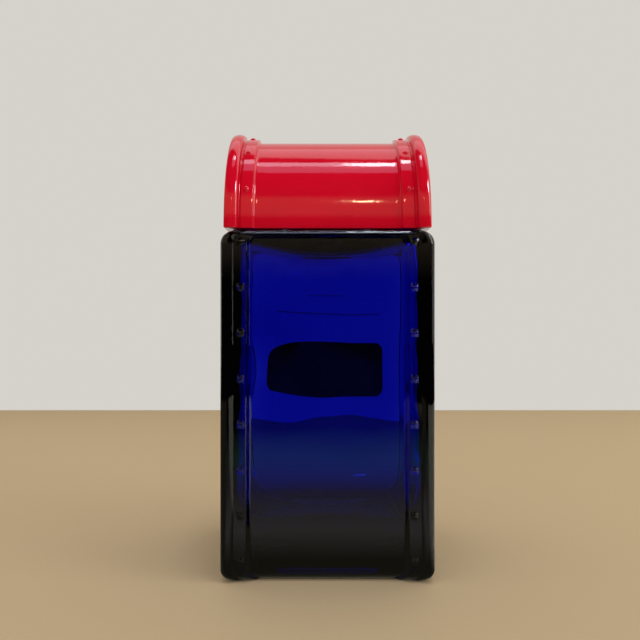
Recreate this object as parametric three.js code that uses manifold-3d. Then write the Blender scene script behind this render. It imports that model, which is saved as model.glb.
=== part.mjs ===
// Mailbox-shaped decanter: a square moulded glass bottle with riveted posts at both sides of its front,
// under a barrel-roofed cap that turns on a screw closure. Millimetres, +Z up, origin at the centre of the
// base. The front looks along -Y, and the far face carries a label and the lines of a drop door.
import * as THREE from 'three';
import { mergeVertices } from 'three/addons/utils/BufferGeometryUtils.js';
import Module from 'manifold-3d';

const wasm = await Module();
wasm.setup();

// Bottle body
const bodyWidth = 50;
const bodyDepth = 48;
const bodyHeight = 82;
const heelRadius = 3;
const sideEdgeRadius = 3.2;
const frontEdgeRadius = 1.5;
const panelWall = 2.5;
const postWall = 4.9;
const farSideWall = 2.3;
const baseThickness = 5;
const shoulderThickness = 2.2;
const cavityCornerRadius = 3;
const cavityHeelRadius = 14;
const cavityTopRadius = 1.5;
const bearingWidth = 3.2;
const pushUpHeight = 1.4;
const pushUpSlope = 2.5;
const pushUpCornerRadius = 6;

// Front posts: a round bead at the corner, then a riveted band that steps down to the panel
const postBeadRadius = 1.75;
const postWidth = 6;
const postStepWidth = 0.95;
const postBandDrop = 0.7;
const panelDrop = 1.2;
const postRivetRadius = 0.9;
const postRivetHeight = 0.5;
const postRivetMargin = 1.05;
const postRivetCount = 8;
const lowestRivetHeight = 5;
const topRivetDrop = 2.7;

// Far face: label and the raised lines of the drop door, between the corner beads and under the shoulder
const labelMargin = 4.85;
const labelHeight = 16;
const labelThickness = 0.2;
const labelCornerRadius = 2.5;
const labelDrop = 35.3;
const glueLine = 0.05;
const lineRadius = 0.6;
const lineProud = 0.4;
const handleLineLength = 11.5;
const handleLineDrop = 13.8;
const doorLineMargin = 5.6;
const doorLineDrop = 19.2;

// Neck
const neckRadius = 8.9;
const neckBoreRadius = 6;
const neckFillet = 0.8;
const neckHeight = 10;
const lipRadius = 0.8;
const neckBeadLift = 1.2;
const neckBeadHeight = 1.4;
const neckBeadProud = 1.2;
const neckRootDrop = 2;
const neckRootWall = 1.5;
const neckRootMargin = 0.1;

// Screw closure and its liner
const threadRoom = 1.15;
const closureWall = 2;
const closureTop = 1.6;
const closureRibCount = 36;
const closureRibDepth = 0.35;
const closureEdge = 0.4;
const linerThickness = 1;
const skirtClearance = 0.5;
const seatGap = 0.3;

// Cap shell, from each end inwards: bead, groove, riveted band, fillet down to the barrel
const capSetback = 0.7;
const capClearance = 0.6;
const capSkirtHeight = 3.6;
const capWall = 1.8;
const capInnerRound = 0.8;
const capEndLean = 0.8;
const capBeadWidth = 3.1;
const capBeadCrown = 0.8;
const capGrooveWidth = 1;
const capGrooveDrop = 1.6;
const capBandWidth = 2.6;
const capBandDrop = 1.3;
const capFilletWidth = 0.9;
const barrelDrop = 2.2;
const capRivetRadius = 0.75;
const capRivetHeight = 0.5;
const capRivetCount = 6;
const bossWall = 1.6;
const bossLift = 1.5;
const bossShelf = 2.5;
const webThickness = 1.2;
const webLift = 8;

// Facets
const cornerSteps = 4;
const flankSteps = 2;
const labelSteps = 4;
const edgeSteps = 4;
const cavitySteps = 6;
const roundSides = 32;
const roofSteps = 28;
const beadSteps = 4;
const rivetSides = 8;
const rivetRings = 6;
const ribCorners = 4;
const lineSides = 8;
const lineEndSteps = 2;
const overcut = 1;

// Places worked out from the sizes above
const halfWidth = bodyWidth / 2;
const halfDepth = bodyDepth / 2;
const panelRecess = postBandDrop + panelDrop;
const panelEdge = postWidth + postStepWidth;
const panelFace = halfDepth - panelRecess;
const beadFoot = Math.acos(1 - postBandDrop / postBeadRadius);
const farFace = halfDepth - postBandDrop;
const farHalfWidth = halfWidth - postBeadRadius * (1 + Math.sin(beadFoot));
const cavityHalfWidth = halfWidth - (postWall + farSideWall) / 2;
const cavityFlare = (postWall - farSideWall) / 2 / cavityHalfWidth;
const cavityFront = panelFace - panelWall;
const cavityBack = farFace - panelWall;
const cavityHalfDepth = (cavityFront + cavityBack) / 2;
const cavityTop = bodyHeight - shoulderThickness;
const lipHeight = bodyHeight + neckHeight;
const neckBeadBottom = bodyHeight + neckBeadLift;
const neckBeadTop = neckBeadBottom + neckBeadHeight;
const linerBottom = lipHeight + seatGap;
const closureBottom = neckBeadTop + skirtClearance;
const closureCeiling = linerBottom + linerThickness + seatGap;
const closureRoof = closureCeiling + closureTop;
const closureBoreRadius = neckRadius + threadRoom;
const closureRadius = closureBoreRadius + closureWall;
const capBottom = bodyHeight + capClearance;
const capAxis = capBottom + capSkirtHeight;
const capHalfLength = halfWidth - capSetback;
const capBeadRadius = halfDepth - capSetback;
const capTop = capAxis + capBeadRadius;
const capBandRadius = capBeadRadius - capBandDrop;
const barrelRadius = capBeadRadius - barrelDrop;
const capBandOuter = capHalfLength - capBeadWidth - capGrooveWidth;
const capBandInner = capBandOuter - capBandWidth;
const socketRadius = closureRadius + seatGap;
const bossRadius = socketRadius + bossWall;

const glassMaterial = new THREE.MeshStandardMaterial({ color: 0x0a1478, roughness: 0.06, metalness: 0 });
const labelMaterial = new THREE.MeshStandardMaterial({ color: 0x2b2825, roughness: 0.5, metalness: 0 });
const shellMaterial = new THREE.MeshStandardMaterial({ color: 0xc5001b, roughness: 0.18, metalness: 0 });
const closureMaterial = new THREE.MeshStandardMaterial({ color: 0xe8e6df, roughness: 0.4, metalness: 0 });
const linerMaterial = new THREE.MeshStandardMaterial({ color: 0xd9d3c3, roughness: 0.8, metalness: 0 });

// Solid for joining and cutting, from a closed geometry whose shared corners are merged
function solid(geometry) {
  const bare = geometry.clone();
  bare.deleteAttribute('normal');
  bare.deleteAttribute('uv');
  const merged = mergeVertices(bare);
  const corners = merged.index.array;
  const triangles = [];
  for (let i = 0; i < corners.length; i += 3) {
    const [a, b, c] = corners.slice(i, i + 3);
    if (a !== b && b !== c && c !== a) triangles.push(a, b, c);
  }
  return new wasm.Manifold(new wasm.Mesh({
    numProp: 3,
    vertProperties: Float32Array.from(merged.attributes.position.array),
    triVerts: Uint32Array.from(triangles),
  }));
}

function geometryOf(manifold) {
  const { vertProperties, triVerts } = manifold.getMesh();
  const geometry = new THREE.BufferGeometry();
  geometry.setAttribute('position', new THREE.BufferAttribute(vertProperties, 3));
  geometry.setIndex(new THREE.BufferAttribute(triVerts, 1));
  geometry.computeVertexNormals();
  return geometry;
}

// Closed solid through flat outlines with the same number of points, stacked along +Z
function loft(sections) {
  const first = sections[0].outline;
  const last = sections[sections.length - 1].outline;
  const count = first.length;
  const top = count * (sections.length - 1);
  const positions = sections.flatMap(({ outline, z }) => outline.flatMap((p) => [p.x, p.y, z]));
  const index = [];
  for (let ring = 0; ring < top; ring += count) {
    for (let i = 0; i < count; i += 1) {
      const a = ring + i;
      const b = ring + ((i + 1) % count);
      index.push(a, b, b + count, a, b + count, a + count);
    }
  }
  for (const [a, b, c] of THREE.ShapeUtils.triangulateShape(first, [])) index.push(c, b, a);
  for (const [a, b, c] of THREE.ShapeUtils.triangulateShape(last, [])) index.push(top + a, top + b, top + c);
  const geometry = new THREE.BufferGeometry();
  geometry.setAttribute('position', new THREE.Float32BufferAttribute(positions, 3));
  geometry.setIndex(index);
  return geometry;
}

// Arc in the plane, from one angle to another, as steps + 1 points
function arc(centreX, centreY, radiusX, radiusY, from, to, steps) {
  return Array.from({ length: steps + 1 }, (_, i) => {
    const angle = from + ((to - from) * i) / steps;
    return new THREE.Vector2(centreX + radiusX * Math.cos(angle), centreY + radiusY * Math.sin(angle));
  });
}

// Whole outline, anticlockwise, from its right half, front to back
function bothHalves(right) {
  return [...right, ...right.map((p) => new THREE.Vector2(-p.x, p.y)).reverse()];
}

function roundedRectangle(halfX, halfY, radius, steps) {
  const corner = (centreY, from) => (
    arc(halfX - radius, centreY, radius, radius, from, from + Math.PI / 2, steps)
  );
  return bothHalves([...corner(radius - halfY, -Math.PI / 2), ...corner(halfY - radius, 0)]);
}

// Heights round an edge of one radius, from its start up to the face that it meets
function edgeHeights(radius, top) {
  return arc(0, top - radius, radius, radius, 0, Math.PI / 2, edgeSteps).map((p) => p.y);
}

// How far an edge of one radius has drawn in at a height
function drawIn(radius, top, height) {
  const rise = Math.max(0, height - (top - radius));
  return radius - Math.sqrt(Math.max(0, radius ** 2 - rise ** 2));
}

// Plans round the lower edge of a prism, bottom to top; outlineAt gives its plan at an inset
function heelSections(outlineAt, bottom, radius) {
  return edgeHeights(radius, radius).reverse().map((height) => (
    { outline: outlineAt(drawIn(radius, radius, height)), z: bottom + radius - height }
  ));
}

// Solid of revolution about Z from [radius, height] pairs, bottom to top
function turned(profile, sides) {
  const points = profile.map(([radius, height]) => new THREE.Vector2(radius, height));
  return new THREE.LatheGeometry(points, sides).rotateX(Math.PI / 2);
}

// Low domed rivet head that stands along +Z
function rivetHead(radius, height) {
  return new THREE.SphereGeometry(radius, rivetSides, rivetRings)
    .rotateX(Math.PI / 2)
    .scale(1, 1, height / radius);
}

// Plan of the body: the front panel, band and bead, then the plain side and the far bead
function bodyOutline(insetX, insetY = insetX) {
  const x = halfWidth - insetX;
  const y = halfDepth - insetY;
  const quarter = Math.PI / 2;
  const bead = (centreY, from, to, steps) => (
    arc(x - postBeadRadius, centreY, postBeadRadius, postBeadRadius, from, to, steps)
  );
  const front = postBeadRadius - y;
  const far = y - postBeadRadius;
  return bothHalves([
    new THREE.Vector2(x - panelEdge, panelRecess - y),
    new THREE.Vector2(x - postWidth, postBandDrop - y),
    ...bead(front, -quarter - beadFoot, -quarter, flankSteps).slice(0, -1),
    ...bead(front, -quarter, 0, cornerSteps),
    ...bead(far, 0, quarter, cornerSteps),
    ...bead(far, quarter, quarter + beadFoot, flankSteps).slice(1),
  ]);
}

// Body without its hollow: round heel, and a shoulder whose side edges are softer than those of the faces
function bodyBlock() {
  const heights = [...edgeHeights(sideEdgeRadius, bodyHeight), ...edgeHeights(frontEdgeRadius, bodyHeight)];
  const shoulder = [...new Set(heights)].sort((a, b) => a - b).map((z) => ({
    outline: bodyOutline(drawIn(sideEdgeRadius, bodyHeight, z), drawIn(frontEdgeRadius, bodyHeight, z)),
    z,
  }));
  return solid(loft([...heelSections(bodyOutline, 0, heelRadius), ...shoulder]));
}

// Hollow of the body: bowl-like bottom, narrower between the posts than at the far face, and thick glass left
// round the root of the neck
function cavity() {
  const heel = Math.min(cavityHeelRadius, cavityHalfDepth - cavityCornerRadius);
  const flared = (p) => new THREE.Vector2(p.x * (1 + cavityFlare * p.y / cavityHalfDepth), p.y);
  const halfSizes = (inset) => [cavityHalfWidth - inset, cavityHalfDepth - inset];
  const planAt = (inset) => (
    roundedRectangle(...halfSizes(inset), cavityCornerRadius, cavitySteps).map(flared)
  );
  const top = edgeHeights(cavityTopRadius, cavityTop).map((z) => (
    { outline: planAt(drawIn(cavityTopRadius, cavityTop, z)), z }
  ));
  const hollow = loft([...heelSections(planAt, baseThickness, heel), ...top]);
  const rootReach = cavityFront - cavityTopRadius - neckRootMargin;
  const root = turned([
    [0, cavityTop - neckRootDrop],
    [neckBoreRadius + neckRootWall, cavityTop - neckRootDrop],
    [rootReach, cavityTop],
    [rootReach, cavityTop + overcut],
    [0, cavityTop + overcut],
  ], roundSides);
  return solid(hollow.translate(0, (cavityBack - cavityFront) / 2, 0)).subtract(solid(root));
}

// Rivet heads down both bands of the front
function postRivets() {
  const rivetX = halfWidth - postWidth + postRivetMargin;
  const pitch = (bodyHeight - lowestRivetHeight - topRivetDrop) / (postRivetCount - 1);
  const rivets = [];
  for (const side of [-1, 1]) {
    for (let i = 0; i < postRivetCount; i += 1) {
      const head = rivetHead(postRivetRadius, postRivetHeight)
        .rotateX(Math.PI / 2)
        .translate(side * rivetX, postBandDrop - halfDepth, lowestRivetHeight + i * pitch);
      rivets.push(solid(head));
    }
  }
  return rivets;
}

// Raised line across the far face
function doorLine(length, drop) {
  const line = new THREE.CapsuleGeometry(lineRadius, length - 2 * lineRadius, lineEndSteps, lineSides)
    .rotateZ(Math.PI / 2)
    .translate(0, farFace + lineProud - lineRadius, bodyHeight - drop);
  return solid(line);
}

function neck() {
  const root = bodyHeight - shoulderThickness / 2;
  const fillet = arc(
    neckRadius + neckFillet,
    bodyHeight + neckFillet,
    neckFillet,
    neckFillet,
    -Math.PI / 2,
    -Math.PI,
    edgeSteps,
  );
  const beadMiddle = (neckBeadBottom + neckBeadTop) / 2;
  const bead = arc(
    neckRadius,
    beadMiddle,
    neckBeadProud,
    neckBeadHeight / 2,
    -Math.PI / 2,
    Math.PI / 2,
    edgeSteps,
  );
  const lip = arc(
    neckRadius - lipRadius,
    lipHeight - lipRadius,
    lipRadius,
    lipRadius,
    0,
    Math.PI / 2,
    edgeSteps,
  );
  const profile = [...fillet, ...bead, ...lip].map((p) => [p.x, p.y]);
  return solid(turned([[0, root], [neckRadius + neckFillet, root], ...profile, [0, lipHeight]], roundSides));
}

function bottle() {
  const bore = solid(turned([
    [0, cavityTop - neckRootDrop - overcut],
    [neckBoreRadius, cavityTop - neckRootDrop - overcut],
    [neckBoreRadius, lipHeight + overcut],
    [0, lipHeight + overcut],
  ], roundSides));
  const pushUpX = halfWidth - heelRadius - bearingWidth;
  const pushUpY = panelFace - heelRadius - bearingWidth;
  const pushUpAt = (inset) => (
    roundedRectangle(pushUpX - inset, pushUpY - inset, pushUpCornerRadius - inset, cavitySteps)
  );
  const pushUp = solid(loft([
    { outline: pushUpAt(0), z: -overcut },
    { outline: pushUpAt(0), z: 0 },
    { outline: pushUpAt(pushUpSlope), z: pushUpHeight },
  ]));
  const handleLine = doorLine(handleLineLength, handleLineDrop);
  const doorEdgeLine = doorLine(2 * (farHalfWidth - doorLineMargin), doorLineDrop);
  const raised = [...postRivets(), handleLine, doorEdgeLine].reduce((all, piece) => all.add(piece));
  return bodyBlock().add(neck()).add(raised).subtract(cavity()).subtract(bore).subtract(pushUp);
}

function label() {
  const halfLength = farHalfWidth - labelMargin;
  const outline = roundedRectangle(halfLength, labelHeight / 2, labelCornerRadius, labelSteps);
  return new THREE.ExtrudeGeometry(new THREE.Shape(outline), { depth: labelThickness, bevelEnabled: false })
    .rotateX(Math.PI / 2)
    .translate(0, farFace + glueLine + labelThickness, bodyHeight - labelDrop);
}

// Ends of the shell lean in towards the roof
function leanAt(z) {
  return 1 - (capEndLean / capHalfLength) * ((z - capBottom) / (capTop - capBottom));
}

// Barrel-roofed solid from [x, roof radius] pairs, one end to the other
function barrel(profile, bottom) {
  const sections = profile.map(([x, radius]) => ({
    z: x,
    outline: [
      new THREE.Vector2(bottom, radius),
      new THREE.Vector2(bottom, -radius),
      ...arc(capAxis, 0, radius, radius, -Math.PI / 2, Math.PI / 2, roofSteps),
    ],
  }));
  const geometry = loft(sections);
  const { position } = geometry.attributes;
  for (let i = 0; i < position.count; i += 1) {
    const [z, y, x] = [position.getX(i), position.getY(i), position.getZ(i)];
    position.setXYZ(i, -x * leanAt(z), y, z);
  }
  return solid(geometry);
}

function bothEnds(profile) {
  return [...profile.map(([x, radius]) => [-x, radius]), ...[...profile].reverse()];
}

function shell() {
  const crownFoot = capBeadRadius - capBeadCrown;
  const bead = arc(
    capHalfLength - capBeadWidth / 2,
    crownFoot,
    capBeadWidth / 2,
    capBeadCrown,
    0,
    Math.PI,
    beadSteps,
  );
  const outer = barrel(bothEnds([
    ...bead.map((p) => [p.x, p.y]),
    [capBandOuter + capGrooveWidth / 2, capBeadRadius - capGrooveDrop],
    [capBandOuter, capBandRadius],
    [capBandInner, capBandRadius],
    [capBandInner - capFilletWidth, barrelRadius],
  ]), capBottom);
  const inner = barrel(bothEnds([
    [capHalfLength - capWall, barrelRadius - capWall - capInnerRound],
    [capHalfLength - capWall - capInnerRound, barrelRadius - capWall],
  ]), capBottom - overcut);
  const bossBottom = capBottom + bossLift;
  const boss = solid(turned([
    [0, bossBottom],
    [bossRadius, bossBottom],
    [bossRadius, capTop],
    [0, capTop],
  ], roundSides));
  const webBottom = capBottom + webLift;
  const webHeight = capTop - webBottom;
  const webMiddle = webBottom + webHeight / 2;
  const web = (x, y) => solid(new THREE.BoxGeometry(x, y, webHeight).translate(0, 0, webMiddle));
  const shelf = closureRoof + seatGap;
  const socket = solid(turned([
    [0, bossBottom - overcut],
    [socketRadius, bossBottom - overcut],
    [socketRadius, shelf],
    [socketRadius - bossShelf, shelf],
    [socketRadius - bossShelf, capTop],
    [0, capTop],
  ], roundSides));
  const inside = boss
    .add(web(bodyWidth, webThickness))
    .add(web(webThickness, bodyDepth))
    .subtract(socket)
    .intersect(outer);
  const rivetX = (capBandOuter + capBandInner) / 2;
  let finished = outer.subtract(inner).add(inside);
  for (const side of [-1, 1]) {
    for (let i = 0; i < capRivetCount; i += 1) {
      const angle = (Math.PI * (i + 0.5)) / capRivetCount;
      const z = capAxis + capBandRadius * Math.sin(angle);
      const head = rivetHead(capRivetRadius, capRivetHeight)
        .rotateX(Math.PI / 2)
        .rotateX(-angle)
        .translate(side * rivetX * leanAt(z), -capBandRadius * Math.cos(angle), z);
      finished = finished.add(solid(head));
    }
  }
  return finished;
}

function closure() {
  const outline = Array.from({ length: closureRibCount * ribCorners }, (_, i) => {
    const angle = (2 * Math.PI * i) / (closureRibCount * ribCorners);
    const radius = closureRadius - (i % ribCorners < ribCorners / 2 ? 0 : closureRibDepth);
    return new THREE.Vector2(radius * Math.cos(angle), radius * Math.sin(angle));
  });
  const smaller = outline.map((p) => p.clone().setLength(p.length() - closureEdge));
  const body = solid(loft([
    { outline, z: closureBottom },
    { outline, z: closureRoof - closureEdge },
    { outline: smaller, z: closureRoof },
  ]));
  const bore = solid(turned([
    [0, closureBottom - overcut],
    [closureBoreRadius, closureBottom - overcut],
    [closureBoreRadius, closureCeiling],
    [0, closureCeiling],
  ], roundSides));
  return body.subtract(bore);
}

function liner() {
  const radius = closureBoreRadius - seatGap;
  return turned([
    [0, linerBottom],
    [radius, linerBottom],
    [radius, linerBottom + linerThickness],
    [0, linerBottom + linerThickness],
  ], roundSides);
}

function piece(name, geometry, material) {
  const mesh = new THREE.Mesh(geometry, material);
  mesh.name = name;
  return mesh;
}

const decanter = new THREE.Group();
decanter.add(piece('glass_bottle', geometryOf(bottle()), glassMaterial));
decanter.add(piece('back_label', geometryOf(solid(label())), labelMaterial));
decanter.add(piece('cap_shell', geometryOf(shell()), shellMaterial));
decanter.add(piece('screw_closure', geometryOf(closure()), closureMaterial));
decanter.add(piece('sealing_liner', geometryOf(solid(liner())), linerMaterial));

export default decanter;
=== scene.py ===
import math

import bmesh
import bpy
from mathutils import Matrix, Vector, noise


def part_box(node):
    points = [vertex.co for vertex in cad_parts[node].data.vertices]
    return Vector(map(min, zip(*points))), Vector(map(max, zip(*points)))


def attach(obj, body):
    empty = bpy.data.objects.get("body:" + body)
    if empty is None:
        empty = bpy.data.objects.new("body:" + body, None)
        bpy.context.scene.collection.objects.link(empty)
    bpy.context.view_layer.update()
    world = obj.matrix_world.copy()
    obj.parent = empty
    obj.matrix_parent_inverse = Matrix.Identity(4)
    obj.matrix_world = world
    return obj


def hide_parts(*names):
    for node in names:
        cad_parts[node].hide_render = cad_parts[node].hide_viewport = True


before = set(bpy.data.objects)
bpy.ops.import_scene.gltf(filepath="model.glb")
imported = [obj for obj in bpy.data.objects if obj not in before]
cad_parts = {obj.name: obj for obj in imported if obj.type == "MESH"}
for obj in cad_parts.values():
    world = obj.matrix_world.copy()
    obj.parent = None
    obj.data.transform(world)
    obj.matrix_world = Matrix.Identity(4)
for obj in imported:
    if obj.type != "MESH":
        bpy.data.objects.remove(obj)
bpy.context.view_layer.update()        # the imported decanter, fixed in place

mm = 0.001               # meshes are drawn in millimetres and scaled down when they are finished
fullTurn = 2 * math.pi


def boxOf(node):         # lowest and highest corner of a solid, in millimetres
    low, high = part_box(node)
    return low / mm, high / mm


# Small drawing helpers
def wire(bm, points):
    verts = [bm.verts.new(point) for point in points]
    for pair in zip(verts, verts[1:]):
        bm.edges.new(pair)
    return verts


def roundOff(bm, vert, reach, segments=4):       # rounds one corner of a wire
    bmesh.ops.bevel(bm, geom=[vert], offset=reach, offset_type="OFFSET", segments=segments, profile=0.5,
                    affect="VERTICES", material=-1)


def sweepVert(bm, vert, centre, angle, steps):   # draws an arc about Z from one vertex, gives its far end
    made = bmesh.ops.spin(bm, geom=[vert], cent=centre, axis=(0, 0, 1), angle=angle, steps=steps)
    return onlyVerts(made["geom_last"])[0]


def lineOn(bm, vert, points):                    # draws a wire on from one vertex, gives its far end
    for point in points:
        ahead = bm.verts.new(point)
        bm.edges.new((vert, ahead))
        vert = ahead
    return vert


def onlyVerts(items):
    return [item for item in items if isinstance(item, bmesh.types.BMVert)]


def quarterRound(radius, count):                 # rise and draw-in of each ring round an edge
    angles = [math.pi / 2 * i / count for i in range(count + 1)]
    spots = [(radius * math.sin(a), radius * (1 - math.cos(a))) for a in angles]
    return [(b[0] - a[0], b[1] - a[1]) for a, b in zip(spots, spots[1:])]


def growRing(bm, ring, rise, insetX=0.0, insetY=None):       # next ring of a wall, each quarter drawn in alike
    made = bmesh.ops.extrude_edge_only(bm, edges=ring)["geom"]
    verts = set(onlyVerts(made))
    for vert in verts:
        vert.co.z += rise
        for axis, inset in enumerate((insetX, insetX if insetY is None else insetY)):
            if abs(vert.co[axis]) > inset:
                vert.co[axis] -= math.copysign(inset, vert.co[axis])
    return [e for e in made if isinstance(e, bmesh.types.BMEdge) and set(e.verts) <= verts]


def edgeHeights(edge, top, count):               # heights round an edge, up to the face that it meets
    return [top - edge["tall"] * (0.5 + 0.5 * math.cos(math.pi * i / count)) for i in range(count + 1)]


def drawIn(edge, top, height):                   # how far an edge has drawn in; a fullness of 2 is round
    share = min(1.0, max(0.0, 1 - (top - height) / edge["tall"]))
    return edge["deep"] * (1 - (1 - share ** edge["fullness"]) ** (1 / edge["fullness"]))


def roundedPlan(bm, halfX, halfY, farRadius, nearRadius, height, segments, sidePoints):
    others = set(bm.edges)
    clear = 0.3                                  # from the end of a corner to the first point of a side
    corners = [Vector((x * halfX, y * halfY, height)) for x, y in ((1, 1), (-1, 1), (-1, -1), (1, -1))]
    radii = [farRadius, farRadius, nearRadius, nearRadius]
    points = []
    for i, here in enumerate(corners):
        there = corners[i - 3]
        way = (there - here).normalized()
        first, last = here + way * (radii[i] + clear), there - way * (radii[i - 3] + clear)
        points += [here] + [first.lerp(last, k / (sidePoints - 1)) for k in range(sidePoints)]
    verts = wire(bm, points)
    bm.edges.new((verts[-1], verts[0]))
    for vert, radius in zip(verts[::sidePoints + 1], radii):
        roundOff(bm, vert, radius, segments)
    return [e for e in bm.edges if e not in others]


def turnRound(bm, verts, steps):                 # full turn of a profile about Z
    edges = list({edge for vert in verts for edge in vert.link_edges})
    bmesh.ops.spin(bm, geom=verts + edges, cent=(0, 0, 0), axis=(0, 0, 1), angle=fullTurn, steps=steps,
                   use_merge=True)


def openEdges(bm, height):                       # edges at one height that still lack a face
    def fits(vert):
        return abs(vert.co.z - height) < 0.005
    return [e for e in bm.edges if len(e.link_faces) == 1 and all(fits(v) for v in e.verts)]


def fillFlat(bm, height):                        # flat skin between the open edges at one height
    bmesh.ops.triangle_fill(bm, edges=openEdges(bm, height), use_beauty=True, use_dissolve=False)


def addRivet(bm, centre, normal, radius, height, reach, sides=20, rings=5):
    faces = [f for f in bm.faces if (f.calc_center_median() - centre).length < reach]
    rim = [e for f in faces for e in f.edges if sum(g in faces for g in e.link_faces) == 1]
    bmesh.ops.delete(bm, geom=faces, context="FACES")
    place = Matrix.Translation(centre) @ normal.to_track_quat("Z", "Y").to_matrix().to_4x4()
    foot = bmesh.ops.create_circle(bm, segments=sides, radius=radius, matrix=place)
    footVerts = set(foot["verts"])
    ring = [e for e in {e for v in footVerts for e in v.link_edges} if set(e.verts) <= footVerts]
    bmesh.ops.triangle_fill(bm, edges=rim + ring, normal=normal, use_beauty=True, use_dissolve=False)
    ball = (radius ** 2 + height ** 2) / (2 * height)        # the head is the top of a ball
    lean = math.asin(radius / ball)
    for step in range(1, rings + 1):
        a = lean * (1 - step / (rings + 0.5))
        made = bmesh.ops.extrude_edge_only(bm, edges=ring)["geom"]
        verts = set(onlyVerts(made))
        for vert in verts:
            out = vert.co - centre
            out -= normal * out.dot(normal)
            vert.co = centre + out.normalized() * ball * math.sin(a)
            vert.co += normal * (height - ball * (1 - math.cos(a)))
        ring = [e for e in made if isinstance(e, bmesh.types.BMEdge) and set(e.verts) <= verts]
    bmesh.ops.contextual_create(bm, geom=ring)


def threadRise(angle, height, screw):            # 0 to 1: how far a right-hand ridge stands on a wall
    turn = (angle / fullTurn) % 1.0
    place = (height - screw["start"]) / screw["pitch"] - turn
    lap = round(place)
    run = lap + turn
    across = abs(place - lap) * screw["pitch"] / screw["halfWidth"]
    ends = min(run - screw["first"], screw["last"] - run) / screw["fade"]
    if across >= 1 or ends <= 0:
        return 0.0
    return min(1.0, ends) * 0.5 * (1 + math.cos(math.pi * across))


def finishPiece(bm, name, material, node, body, sharp=40):
    bmesh.ops.remove_doubles(bm, verts=bm.verts, dist=0.002)
    bmesh.ops.recalc_face_normals(bm, faces=bm.faces)
    bmesh.ops.scale(bm, vec=(mm, mm, mm), verts=bm.verts)
    mesh = bpy.data.meshes.new(name)
    bm.to_mesh(mesh)
    bm.free()
    mesh.shade_smooth()
    mesh.set_sharp_from_angle(angle=math.radians(sharp))
    piece = bpy.data.objects.new(name, mesh)
    bpy.context.scene.collection.objects.link(piece)
    mesh.materials.append(material)
    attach(piece, body)
    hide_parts(node)
    print("made", name, len(mesh.vertices), "vertices")
    return piece


# Materials
def newMaterial(name):
    material = bpy.data.materials.new(name)
    material.use_nodes = True
    tree = material.node_tree
    return material, tree, tree.nodes["Principled BSDF"]


def objectNoise(tree, scale, detail=3.0, stretch=(1, 1, 1)):
    coords = tree.nodes.new("ShaderNodeTexCoord")
    mapping = tree.nodes.new("ShaderNodeMapping")
    mapping.inputs["Scale"].default_value = stretch
    texture = tree.nodes.new("ShaderNodeTexNoise")
    texture.inputs["Scale"].default_value = scale
    texture.inputs["Detail"].default_value = detail
    tree.links.new(coords.outputs["Object"], mapping.inputs["Vector"])
    tree.links.new(mapping.outputs["Vector"], texture.inputs["Vector"])
    return texture.outputs["Fac"]


def ranged(tree, value, low, high, fromLow=0.3, fromHigh=0.7):
    node = tree.nodes.new("ShaderNodeMapRange")
    node.inputs["From Min"].default_value = fromLow
    node.inputs["From Max"].default_value = fromHigh
    node.inputs["To Min"].default_value = low
    node.inputs["To Max"].default_value = high
    tree.links.new(value, node.inputs["Value"])
    return node.outputs["Result"]


def mixedColour(tree, value, first, second):
    node = tree.nodes.new("ShaderNodeMix")
    node.data_type = "RGBA"
    node.inputs["A"].default_value = (*first, 1)
    node.inputs["B"].default_value = (*second, 1)
    tree.links.new(value, node.inputs["Factor"])
    return node.outputs["Result"]


def bumped(tree, shader, height, strength, distance):
    node = tree.nodes.new("ShaderNodeBump")
    node.inputs["Strength"].default_value = strength
    node.inputs["Distance"].default_value = distance
    tree.links.new(height, node.inputs["Height"])
    tree.links.new(node.outputs["Normal"], shader.inputs["Normal"])


def cobaltGlass():
    look = {"tint": (0.04, 0.143, 0.857), "density": 1350.0, "ior": 1.52,
            "ripple": 55.0, "rippleStrength": 0.25, "rippleDepth": 0.0003}
    material, tree, shader = newMaterial("cobaltGlass")
    shader.inputs["Base Color"].default_value = (1, 1, 1, 1)
    shader.inputs["Roughness"].default_value = 0.0
    shader.inputs["IOR"].default_value = look["ior"]
    shader.inputs["Transmission Weight"].default_value = 1.0
    bumped(tree, shader, objectNoise(tree, look["ripple"], 2.0), look["rippleStrength"], look["rippleDepth"])
    absorb = tree.nodes.new("ShaderNodeVolumeAbsorption")
    absorb.inputs["Color"].default_value = (*look["tint"], 1)
    absorb.inputs["Density"].default_value = look["density"]
    output = tree.nodes["Material Output"]
    tree.links.new(absorb.outputs["Volume"], output.inputs["Volume"])
    return material


def redPlastic():
    look = {"red": (0.70, 0.003, 0.022), "deepRed": (0.63, 0.002, 0.018), "mottle": 60.0, "ior": 1.5,
            "scuffs": 240.0, "scuffStretch": (0.35, 1, 1), "rough": (0.05, 0.09),
            "peel": 700.0, "peelStrength": 0.06, "peelDepth": 0.0002}
    material, tree, shader = newMaterial("redPlastic")
    mottle = ranged(tree, objectNoise(tree, look["mottle"]), 0, 1)
    tree.links.new(mixedColour(tree, mottle, look["red"], look["deepRed"]), shader.inputs["Base Color"])
    scuffs = objectNoise(tree, look["scuffs"], 5.0, look["scuffStretch"])
    tree.links.new(ranged(tree, scuffs, *look["rough"]), shader.inputs["Roughness"])
    shader.inputs["IOR"].default_value = look["ior"]
    bumped(tree, shader, objectNoise(tree, look["peel"], 2.0), look["peelStrength"], look["peelDepth"])
    return material


def grainyMaterial(name, look):                      # two near colours, uneven gloss and a fine grain
    material, tree, shader = newMaterial(name)
    fleck = objectNoise(tree, look["fleck"])
    tree.links.new(mixedColour(tree, fleck, look["first"], look["second"]), shader.inputs["Base Color"])
    gloss = objectNoise(tree, look["gloss"])
    tree.links.new(ranged(tree, gloss, *look["rough"]), shader.inputs["Roughness"])
    bumped(tree, shader, objectNoise(tree, look["grain"]), look["grainStrength"], look["grainDepth"])
    return material


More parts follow.
